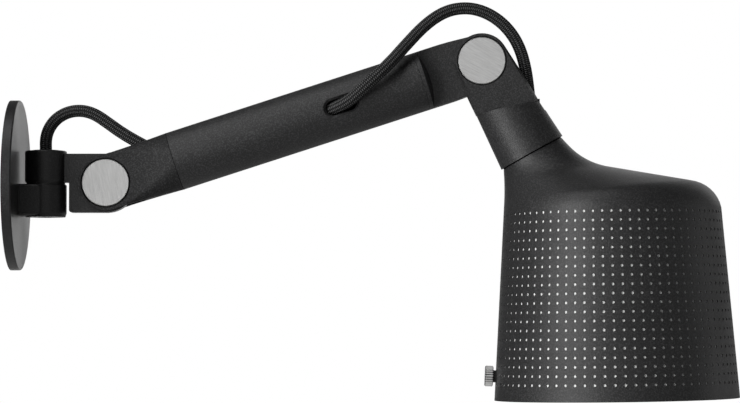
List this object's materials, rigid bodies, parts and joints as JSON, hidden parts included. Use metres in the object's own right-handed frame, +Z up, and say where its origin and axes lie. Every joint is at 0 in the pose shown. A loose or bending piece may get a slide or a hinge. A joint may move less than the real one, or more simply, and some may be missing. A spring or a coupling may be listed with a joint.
{
  "type": "articulating wall lamp",
  "caption": "Wall lamp with a swivelling foot, a tilting arm with an outside cord loop, and a tilting, turning perforated metal shade with a dimmer knob.",
  "frame": {"origin": "centre of the wall plate's back face, in the plane of the wall", "axes": "+X straight out of the wall, +Z up, +Y across; the lamp lies in the XZ plane at rest"},
  "size_m": [0.421, 0.1414, 0.2309],
  "materials": {
    "black_coat": "matte",
    "brushed_caps": "satin",
    "inner_steel": "satin",
    "black_plastic": "matte",
    "holder_plastic": "satin",
    "contact_brass": "satin",
    "dark_textile": "matte",
    "wire_insulation": "satin",
    "white_lining": "matte",
    "bulb_white": "satin",
    "bulb_opal": "satin"
  },
  "bodies": {
    "wall_mount": {"wall_bracket": "inner_steel", "wall_plate": "black_coat", "plate_screws": "inner_steel", "wall_knuckle": "black_coat", "knuckle_screws": "inner_steel", "swivel_tube": "inner_steel", "swivel_washer": "black_plastic", "swivel_nut": "inner_steel", "supply_wires": "wire_insulation"},
    "swivel": {"swivel_head": "black_coat", "cord_grommet": "black_plastic", "rear_friction_washers": "black_plastic", "cord_rear_loop": "dark_textile"},
    "arm": {"rear_fork": "black_coat", "arm_tube": "black_coat", "front_tongue": "black_coat", "tube_screws": "inner_steel", "rear_pivot_pin": "inner_steel", "rear_pivot_cap_near": "brushed_caps", "rear_pivot_cap_far": "brushed_caps", "front_friction_washers": "black_plastic", "cord_arm_run": "dark_textile", "cord_front_loop": "dark_textile"},
    "head": {"head_yoke": "black_coat", "front_pivot_pin": "inner_steel", "front_pivot_cap_near": "brushed_caps", "front_pivot_cap_far": "brushed_caps", "cord_clamp": "black_plastic", "yoke_plug": "inner_steel", "head_wires": "wire_insulation"},
    "shade_body": {"neck_tube": "inner_steel", "neck_washer": "black_plastic", "shade_nut": "inner_steel", "shade": "black_coat", "shade_liner": "white_lining", "liner_ring": "inner_steel", "holder_cap": "holder_plastic", "lamp_holder": "holder_plastic", "holder_contact": "contact_brass", "bulb_cap": "inner_steel", "bulb_base": "bulb_white", "bulb_globe": "bulb_opal", "dimmer_body": "black_plastic", "dimmer_bushing": "inner_steel"},
    "knob": {"dimmer_shaft": "inner_steel", "dimmer_knob": "brushed_caps"}
  },
  "joints": [
    {"name": "wall_swivel", "type": "hinge", "parent": "wall_mount", "child": "swivel", "pos_m": [0.02, 0, 0], "axis": [0, 0, 1], "range_deg": [-75, 75]},
    {"name": "arm_tilt", "type": "hinge", "parent": "swivel", "child": "arm", "pos_m": [0.0554, 0, 0.0012], "axis": [0, -1, 0], "range_deg": [-63, 57], "deforming": ["cord_rear_loop"]},
    {"name": "head_tilt", "type": "hinge", "parent": "arm", "child": "head", "pos_m": [0.27243, 0, 0.07172], "axis": [0, -1, 0], "range_deg": [-20, 95], "deforming": ["cord_front_loop"]},
    {"name": "shade_swivel", "type": "hinge", "parent": "head", "child": "shade_body", "pos_m": [0.30166, 0, 0.01898], "axis": [0.4848, 0, -0.8746], "range_deg": [-150, 150]},
    {"name": "dimmer_turn", "type": "hinge", "parent": "shade_body", "child": "knob", "pos_m": [0.28042, 0, -0.1104], "axis": [-0.9987, 0, 0.051], "range_deg": [0, 270]}
  ]
}
